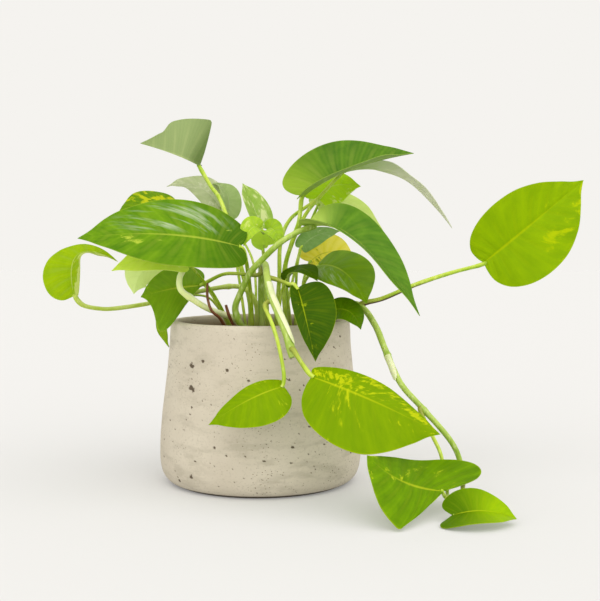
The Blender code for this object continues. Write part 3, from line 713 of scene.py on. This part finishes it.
def bladeMaterial(name, look, seed):
    look = dict(plainLook, **look)
    material, s = newMaterial(name)
    place = s.node("ShaderNodeAttribute", pick="Vector", attribute_name="place")
    where = s.node("ShaderNodeTexCoord", pick="Object")
    across, share, under = place.parts()
    below = under.step(0.4, 0.6)
    u = across.size()
    cloud = s.grain(where, 34, 3)
    # the side veins lie between the bulges, with finer ones among them, and fade towards the margin
    phase = share * blade["veins"]
    bulge = (phase - phase.maths("FLOOR", phase + 0.5)).size()
    fine = share * (blade["veins"] * 4)
    fineLine = (fine - fine.maths("FLOOR", fine + 0.5)).size().step(0.05, 0.45, 0.35, 0.0)
    vein = (bulge.step(0.03, 0.2, 1.0, 0.0) * u.step(0.5, 1.0, 1.0, 0.2)).most(fineLine)
    midrib = u.step(0.012, 0.045, 1.0, 0.0) * share.step(0.5, 0.95, 1.0, 0.3)
    # marks run out along the veins, some of them joined into patches
    flow = s.join(across * 1.5 + seed, share * look["run"], seed)
    streak = s.grain(flow, 1.9, 5, 0.62, 0.5)
    patch = s.grain(s.join(across * 1.1 + seed, share * 2.6, seed), 1.4, 2)
    limit = 0.70 - 0.26 * look["many"]
    amount = streak * 0.5 + patch * 0.5 + across * look["side"] + share * look["tip"]
    amount = amount + (u ** 3) * look["edge"]
    if "patch" in look:
        middle, beside, long, wide, more = look["patch"]
        spot = (share - middle).size().step(0.0, long, more, 0.0)
        amount = amount + spot * (across - beside).size().step(0.0, wide, 1.0, 0.0)
    mark = amount.step(limit - 0.02, limit + 0.05)
    shade = streak * 0.45 + cloud * 0.3 + bulge * 0.3
    top = shade.step(0.26, 0.66).mix(tint(*look["deep"]), tint(*look["light"]))
    near = share.step(look["reach"] * 0.4, look["reach"], 1.0, 0.0)
    if "foot" in look:
        top = (near * 0.9).mix(top, tint(*look["foot"]))
    top = (vein * look["vein"]).mix(top, tint(*look["mark"]))
    top = (mark * 0.8).mix(top, tint(*look["mark"]))
    top = (midrib * look["midrib"]).mix(top, tint(*look["mark"]))
    # a soft reflection caught between the veins of the right half
    if look["sheen"]:
        glint = s.grain(s.join(across * 2.2 + seed, share * 15 - u * 5, seed + 3), 1.0, 3, 0.6)
        window = share.step(0.25, 0.48) * share.step(0.65, 0.88, 1.0, 0.0) * u.step(0.05, 0.3)
        window = window * u.step(0.75, 1.0, 1.0, 0.0) * across.step(0.0, 0.1)
        top = (glint.step(0.46, 0.66) * window * look["sheen"]).mix(top, tint(206, 220, 186))
    # darker where the blade joins its stalk, paler in a hair's breadth at the margin
    top = (share.step(0.0, 0.05, 0.5, 0.0) * u.step(0.1, 0.5, 1.0, 0.0)).mix(top, tint(*look["deep"]))
    top = u.step(0.975, 1.0, 0.0, 0.4).mix(top, tint(*look["mark"]))
    back = (vein * 0.35 + midrib * 0.5).mix(tint(*look["under"]), tint(206, 218, 150))
    if "foot" in look:
        back = (near * 0.7).mix(back, tint(*look["foot"]))
    colour = below.mix(top, back)
    relief = cloud * 0.2 - vein * 0.5 + streak * 0.15
    bump = s.node("ShaderNodeBump", {"Height": relief, "Strength": 0.22, "Distance": 0.0005})
    skin = s.node("ShaderNodeBsdfPrincipled", {
        "Base Color": colour, "Roughness": 0.34 + below * 0.25 + cloud * 0.1, "Normal": bump,
        "Specular IOR Level": look["gloss"]})
    # light from behind comes through in plain colours, mixed as they are on the surface
    middling = [(a + b) / 2 for a, b in zip(look["deep"], look["light"])]
    through = s.node("ShaderNodeBsdfTranslucent", {"Color": tint(*middling)})
    layers = [(near * 0.9, look["foot"])] if "foot" in look else []
    layers += [(mark * 0.8, look["mark"]), (below, look["under"])]
    for factor, shown in layers:
        layer = s.node("ShaderNodeBsdfTranslucent", {"Color": tint(*shown)})
        through = s.node("ShaderNodeMixShader", {0: factor, 1: through, 2: layer})
    output(s, s.node("ShaderNodeMixShader", {0: look["through"], 1: skin, 2: through}))
    return material


slotOf = {entry["node"]: entry["material_slot"] for entry in frame["record"]["subparts"]}

for number, (name, shape) in enumerate(leaves.items()):
    node = "leaf_" + name
    skin = bladeMaterial("skin_" + name, shape["look"], number * blade["seedStep"])
    finishPiece(makeBlade(name, shape), "blade_" + name, slotOf[node], skin, node)
for name, shape in sprouts.items():
    skin = bladeMaterial("skin_" + name, shape["look"], blade["sproutSeed"])
    finishPiece(makeBlade(name, shape), name, "leaf_lime", skin)
print("leaves made")

# stems and leaf stalks
# swellings: how much, how far from the blade and how wide below a blade, how much and how wide at the
# foot, and at a ring how much and how wide, with a notch above it: how much, how far up, how wide
stalk = {
    "turns": 16, "step": 1.5, "sunk": 6.0, "channel": 0.22, "uneven": 0.05, "neck": (0.16, 7, 5),
    "flare": (0.25, 9), "ring": (0.28, 2.4), "notch": (0.12, 1.2, 0.8),
}

# for each: its slot, its radius at both ends, the blade it bears, the stem it grows from (or, with only
# two numbers first, the soil), and its route; what isn't given is as in plainStalk
plainStalk = {"slot": "petiole", "thick": 1.3, "thin": 1}
stalks = {
    "petiole_top_left": {"thick": 2.2, "thin": 1.6,
        "line": [(-8, 6), (-9, 8, 144), (-17, 15, 173), (-33, 40, 222), (-44, 50, 239), (-53, 55, 254)]},
    "runner_left": {"slot": "runner", "thick": 2.2, "thin": 1.8, "bears": "left_curled",
        "line": [(-2, -7), (-4, -6, 144), (-18, -4, 156), (-53, 4, 151), (-81, 6, 144),
                 (-96, 2, 141), (-118, -10, 138.5), (-129, -18, 139.5), (-137, -25, 142),
                 (-141, -28.5, 146)]},
    "stem_left_hook": {"slot": "stem_pale", "thick": 2.7, "thin": 2, "bears": "left_variegated",
        "line": [(-13, -18), (-21, -22, 132), (-39, -34, 140), (-51, -40, 148), (-59, -44, 155),
                 (-60, -43, 164), (-57, -32, 176), (-62, -15, 205), (-64, -13, 218)]},
    "sheath_dried": {"slot": "sheath_dry", "thick": 1.6, "thin": 0.8,
        "line": [(-25, -31), (-30, -38, 133), (-36, -41, 139), (-39, -41, 149), (-39, -41, 160)]},
    "vine_front_left": {"slot": "vine", "thick": 2.6, "thin": 2.2, "bears": "right_arching",
        "line": [(-9, -28), (-14, -36, 128), (-18, -38, 140), (-14, -40, 152), (-6, -46, 168),
                 (4, -50, 179), (17, -54, 191), (30, -51, 199), (38, -46, 202)]},
    "vine_front": {"slot": "vine", "thick": 2.4, "thin": 3,
        "line": [(2, -14), (1, -14, 148), (2, -22, 171), (5, -36, 174), (7, -52, 165),
                 (10, -68, 153), (15, -82, 142), (21, -90, 128), (27, -96, 109)]},
    "petiole_front_big": {"thick": 1.8, "thin": 1.5, "from": (25.5, -94.5, 114),
        "line": [(27, -100.5, 115), (32, -103, 107), (38, -104, 98.5)]},
    "petiole_front_small": {"thick": 1.6, "thin": 1.3, "from": (12, -73, 149),
        "line": [(6, -76, 145), (11, -88, 134), (16, -94, 119), (20, -97, 99), (20, -97, 90.5)]},
    "petiole_front_hanging": {"thick": 1.7, "thin": 1.4, "from": (7, -52, 165),
        "line": [(12, -54, 164), (18, -58, 162), (24, -61, 160), (27, -62, 160)]},
    "petiole_left_dark": {"thick": 1.7, "thin": 1.4, "from": (3.5, -29, 172.5),
        "line": [(-1, -32, 166), (-17, -27, 167), (-29, -22, 166), (-44, -15, 158.5)]},
    "petiole_upper_back": {"thick": 1.8, "thin": 1.5,
        "line": [(12, 6), (15, 5, 161), (16, 9, 190), (24, 16, 210), (43, 24, 224)]},
    "petiole_upper_right": {"thick": 2, "thin": 1.6,
        "line": [(21, -5), (19, -3, 165), (26, -7, 193), (31, -9, 208), (33, -8, 225)]},
    "petiole_right_drooping": {"thick": 1.8, "thin": 1.4,
        "line": [(24, 13), (20, 8, 169), (25, 8, 189), (36, 10, 213), (49, 12, 229), (66, 19, 247.5)]},
    "vine_right": {"slot": "vine", "thick": 2.8, "thin": 2,
        "line": [(36, 8), (39, 6, 137), (47, 2, 142), (60, -5, 143), (79, -12, 141), (90, -30, 127),
                 (97, -44, 109), (107, -60, 86), (121, -72, 70), (135, -82, 55), (144, -83, 43),
                 (149, -83, 31), (151, -86, 16)]},
    "petiole_far_right": {"skin": "shaded", "thick": 2.2, "thin": 1.6, "from": (79, -12, 141),
        "line": [(83.5, -12, 143.5), (98, -12, 147), (124, -12, 158), (151, -12, 167),
                 (175.5, -12, 173.5)]},
    "petiole_floor_small": {"thick": 1.5, "thin": 1.1, "from": (151, -86, 16),
        "line": [(149.5, -95, 11.5), (149, -106, 6), (146, -120, 4), (140, -131, 3.5), (137, -139, 4.5)]},
    "petiole_floor_large": {"thick": 1.5, "thin": 1.2, "from": (121, -72, 70),
        "line": [(121, -76, 66), (128, -84, 51), (134, -88, 38), (136, -92, 26), (137, -104, 13),
                 (134, -117, 12.5)]},
    "petiole_back_left_pale": {"line": [(-12, 18), (-22, 42, 175), (-36, 70, 217)]},
    "petiole_back_left_low": {"thick": 1.2, "thin": 0.9, "line": [(-4, 22), (-8, 46, 175), (-29, 59, 210)]},
    "petiole_centre_upright": {"thick": 1.4, "thin": 1.1, "line": [(4, 16), (2, 28, 170), (0, 36, 201)]},
    "petiole_centre_small": {"thick": 1.4, "thin": 1.1, "line": [(6, -3), (5, 4, 150), (2, 6, 185)]},
    "petiole_left_lime": {"line": [(-22, -6), (-36, -18, 150), (-50, -34, 170), (-55, -43, 175)]},
    "petiole_left_round": {"line": [(-24, 10), (-46, 13, 156), (-74, -3, 172)]},
    "petiole_left_hanging": {"thick": 1.2, "thin": 0.9,
        "line": [(-24, 20), (-42, 18, 145), (-59, 18, 148)]},
    "petiole_right_pale_back": {"line": [(16, 24), (32, 42, 185), (46, 44, 220)]},
    "petiole_right_round": {"thick": 1.5, "thin": 1.1, "line": [(31, -11), (34, -10, 155), (42, -11, 169)]},
    "petiole_centre_grey": {"line": [(28, 2), (29, 2, 165), (32, 2, 185)]},
    "petiole_old_yellow": {"line": [(34, 22), (34, 22, 155), (39, 22, 173)]},
    "petiole_centre_crescent": {"line": [(14, -20), (17, -26, 150), (21, -30, 161)]},
    "petiole_rim_right": {"line": [(41, -16), (48, -28, 134), (56, -34, 139)]},
    # two that are shown only, with no CAD piece: a stalk behind the big blade, and a dry stub
    "petiole_left_big": {"thick": 1.8, "thin": 1.5,
        "line": [(-6, -12), (-7, -20, 150), (-9, -38, 174), (-11, -48, 185)]},
    "stub_brown": {"slot": "sheath_dry",
        "line": [(-16, -28), (-19, -34, 126), (-22, -38, 133), (-24, -39, 139), (-25, -40, 143)]},
}
for name, entry in stalks.items():
    # a petiole bears the blade of its own name
    bears = {"bears": name.removeprefix("petiole_")} if name.startswith("petiole_") else {}
    stalks[name] = {**plainStalk, **bears, **entry}

# the rings on the stems, as shares of their length
joints = {"vine_right": (0.28, 0.52, 0.74), "vine_front": (0.36, 0.66), "vine_front_left": (0.2,),
          "runner_left": (0.3,), "stem_left_hook": (0.42,)}
# papery leaf bases: their stem, the shares of its length they cover, the side they are on, how far round
sheaths = {
    "sheath_front": {"on": "vine_front", "from": 0.60, "to": 0.95, "turn": 20, "wrap": 1.2},
    "sheath_right": {"on": "vine_right", "from": 0.52, "to": 0.61, "turn": 200, "wrap": 1.5},
}
sheath = {"slot": "sheath_dry", "rows": 30, "columns": 14, "thick": 0.25, "gap": 0.25, "flare": 0.7}

# how each slot is coloured: darker and lighter tone, with the upper side painted lighter as light from
# above, streaks, foot
stalkLooks = {
    "petiole": dict(deep=(140, 174, 20), light=(186, 206, 70), streak=(214, 224, 136), foot=(130, 134, 50)),
    "runner": dict(deep=(170, 192, 66), light=(198, 212, 116), streak=(216, 224, 160), foot=(130, 130, 60)),
    "stem_pale": dict(deep=(222, 234, 150), light=(238, 244, 196), streak=(246, 248, 220),
                      foot=(160, 160, 90)),
    "vine": dict(deep=(128, 160, 40), light=(170, 192, 88), streak=(208, 218, 150), foot=(116, 120, 50)),
    "sheath_dry": dict(deep=(92, 50, 24), light=(130, 82, 44), streak=(156, 110, 66), foot=(74, 46, 26)),
    "papery": dict(deep=(190, 202, 136), light=(216, 222, 176), streak=(228, 230, 204),
                   foot=(176, 160, 108)),
}
# the far shoot gets painted shade, dark brown underneath, near the crown
stalkLooks["shaded"] = dict(stalkLooks["petiole"], under=(76, 54, 26))


def stalkRoute(entry):
    points = entry["line"]
    route = [Vector(p) for p in points if len(p) == 3]
    if len(points[0]) == 2:
        x, y = points[0]
        low = soilHeight(x, y) + 1
        lean = Vector((x + 0.12 * (route[0].x - x), y + 0.12 * (route[0].y - y), low + 4))
        route = [Vector((x, y, low - stalk["sunk"])), Vector((x, y, low)), lean] + route
    else:
        route = [Vector(entry["from"])] + route
    if "bears" in entry:
        base, middle, _ = (Vector(p) for p in leaves[entry["bears"]]["line"])
        route.append(base + (middle - base).normalized() * 1.5)
    return route


def framesAlong(route, rows):
    # points of the route with their forward, sideways and third directions, and its length
    line = [curvePoint(route, i / rows) for i in range(rows + 1)]
    frames = []
    side = None
    for i, point in enumerate(line):
        ahead = (line[min(i + 1, rows)] - line[max(i - 1, 0)]).normalized()
        side = ahead.orthogonal().normalized() if side is None else side
        side = (side - ahead * side.dot(ahead)).normalized()
        frames.append((point, ahead, side, ahead.cross(side)))
    return frames, sum((b - a).length for a, b in zip(line, line[1:]))


def makeStalk(name, entry):
    draw = random.Random(name)
    route = stalkRoute(entry)
    rows = max(14, round(framesAlong(route, 40)[1] / stalk["step"]))
    frames, length = framesAlong(route, rows)
    bpy.ops.mesh.primitive_grid_add(x_subdivisions=stalk["turns"], y_subdivisions=rows + 2, size=2)
    piece = bpy.context.object
    place = piece.data.attributes.new("place", "FLOAT_VECTOR", "POINT")
    placed = []
    sway = draw.uniform(0, 9)
    (neck, neckAt, neckWide), (flare, flareWide) = stalk["neck"], stalk["flare"]
    (ring, ringWide), (notch, notchAt, notchWide) = stalk["ring"], stalk["notch"]
    for vertex in piece.data.vertices:
        turn = math.pi * (vertex.co.x + 1)
        row = round((vertex.co.y + 1) / 2 * (rows + 2))
        i = min(max(row - 1, 0), rows)
        share = i / rows
        point, ahead, side, other = frames[i]
        fromEnd = (1 - share) * length
        # a little thicker below the blade and at the foot
        radius = entry["thick"] + (entry["thin"] - entry["thick"]) * share
        radius *= 1 + neck * math.exp(-((fromEnd - neckAt) / neckWide) ** 2) \
            + flare * math.exp(-(share * length / flareWide) ** 2)
        radius *= 1 + stalk["uneven"] * noise.noise(Vector((share * length * 0.08, sway, 0)))
        for joint in joints.get(name, ()):
            away = (share - joint) * length
            radius *= 1 + ring * math.exp(-(away / ringWide) ** 2) \
                - notch * math.exp(-((away - notchAt) / notchWide) ** 2)
        # a shallow channel along the upper side
        outward = side * math.cos(turn) + other * math.sin(turn)
        channel = max(0.0, outward.dot(Vector((0, 0, 1)) - ahead * ahead.z)) ** 6
        radius *= 1 - stalk["channel"] * channel * min(1.0, fromEnd / 10)
        if row in (0, rows + 2):
            radius = 0.0
        vertex.co = (point + outward * radius) * mm
        placed += [outward.z, share, share * length * mm]
    place.data.foreach_set("vector", placed)
    tidyMesh(piece, merge=0.00001, angle=60)
    return piece


def makeSheath(entry):
    # it wraps its stem and ends in a point
    host = stalks[entry["on"]]
    steps = 200
    frames, length = framesAlong(stalkRoute(host), steps)
    bpy.ops.mesh.primitive_grid_add(x_subdivisions=sheath["columns"], y_subdivisions=sheath["rows"], size=2)
    piece = bpy.context.object
    place = piece.data.attributes.new("place", "FLOAT_VECTOR", "POINT")
    placed = []
    for vertex in piece.data.vertices:
        c, t = vertex.co.x, (vertex.co.y + 1) / 2
        share = entry["from"] + (entry["to"] - entry["from"]) * t
        point, ahead, side, other = frames[round(share * steps)]
        turn = math.radians(entry["turn"]) + c * entry["wrap"] * (1 - t ** 3) ** 0.6
        outward = side * math.cos(turn) + other * math.sin(turn)
        radius = host["thick"] + (host["thin"] - host["thick"]) * share
        radius = radius * 1.1 + sheath["gap"] + sheath["flare"] * t ** 3
        radius += 0.15 * math.sin(9 * t + 3 * c) * abs(c)
        vertex.co = (point + outward * radius) * mm
        placed += [outward.z, 0.5, 0.03 + share * length * mm]
    place.data.foreach_set("vector", placed)
    onlyActive(piece)
    shell = piece.modifiers.new("shell", "SOLIDIFY")
    shell.thickness = sheath["thick"] * mm
    shell.offset = 0
    bpy.ops.object.modifier_apply(modifier="shell")
    tidyMesh(piece, merge=0.00001, angle=60)
    return piece


def stalkMaterial(name, look):
    material, s = newMaterial(name)
    upward, share, along = s.node("ShaderNodeAttribute", pick="Vector", attribute_name="place").parts()
    where = s.node("ShaderNodeTexCoord", pick="Object")
    cloud = s.grain(where, 60, 3)
    streak = s.grain(where.scaled(1, 1, 0.25), 420, 3, 0.6)
    # the tone varies at random, and the upper side is painted lighter, as light from above
    base = (upward * 0.25 + cloud).step(0.3, 0.75).mix(tint(*look["deep"]), tint(*look["light"]))
    base = streak.step(0.5, 0.72, 0, 0.5).mix(base, tint(*look["streak"]))
    base = (along + cloud * 0.02).step(0.012, 0.04, 0.85, 0.0).mix(base, tint(*look["foot"]))
    # painted shade: the underside near the crown is darkened
    if "under" in look:
        undersideShade = (upward + cloud * 0.3).step(-0.45, 0.0, 1.0, 0.0) * along.step(0.035, 0.07, 1.0, 0.0)
        base = undersideShade.mix(base, tint(*look["under"]))
    bump = s.node("ShaderNodeBump", {"Height": streak, "Strength": 0.2, "Distance": 0.0004})
    output(s, s.node("ShaderNodeBsdfPrincipled", {
        "Base Color": base, "Roughness": 0.38 + cloud * 0.1, "Normal": bump, "Specular IOR Level": 0.3,
        "Subsurface Weight": 0.12, "Subsurface Radius": (0.6, 1.0, 0.2), "Subsurface Scale": 0.001}))
    return material


stalkSkins = {slot: stalkMaterial("stalk_" + slot, look) for slot, look in stalkLooks.items()}
for name, entry in stalks.items():
    nodes = [name] if name in frame["nodes"] else []
    skin = stalkSkins[entry.get("skin", entry["slot"])]
    finishPiece(makeStalk(name, entry), "stalk_" + name, entry["slot"], skin, *nodes)
for name, entry in sheaths.items():
    finishPiece(makeSheath(entry), name, sheath["slot"], stalkSkins["papery"])
print("stems made")
